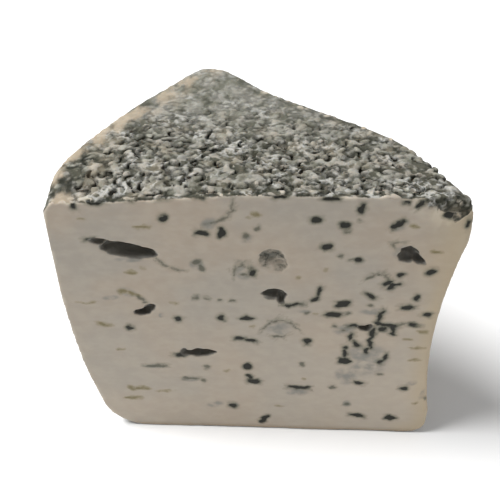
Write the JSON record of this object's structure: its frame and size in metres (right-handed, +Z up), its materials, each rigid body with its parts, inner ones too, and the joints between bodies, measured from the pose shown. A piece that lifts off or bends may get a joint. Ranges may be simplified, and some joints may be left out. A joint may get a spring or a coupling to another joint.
{
  "type": "blue cheese wedge",
  "caption": "Wedge cut from a flat wheel of blue cheese: mould-flecked paste on both cut faces, pebbled mouldy rind on the top and the curved side, blunt worn tip, flat base.",
  "frame": {"origin": "centre of the bottom of the wedge's box, on the flat base that it rests on", "axes": "+Z up from the base; the front cut face looks along -Y; +X points to the blunt tip and -X to the curved rind side"},
  "size_m": [0.1, 0.0676, 0.0867],
  "materials": {
    "cheese": "satin"
  },
  "bodies": {
    "root": {"cheese_wedge": "cheese"}
  },
  "joints": []
}
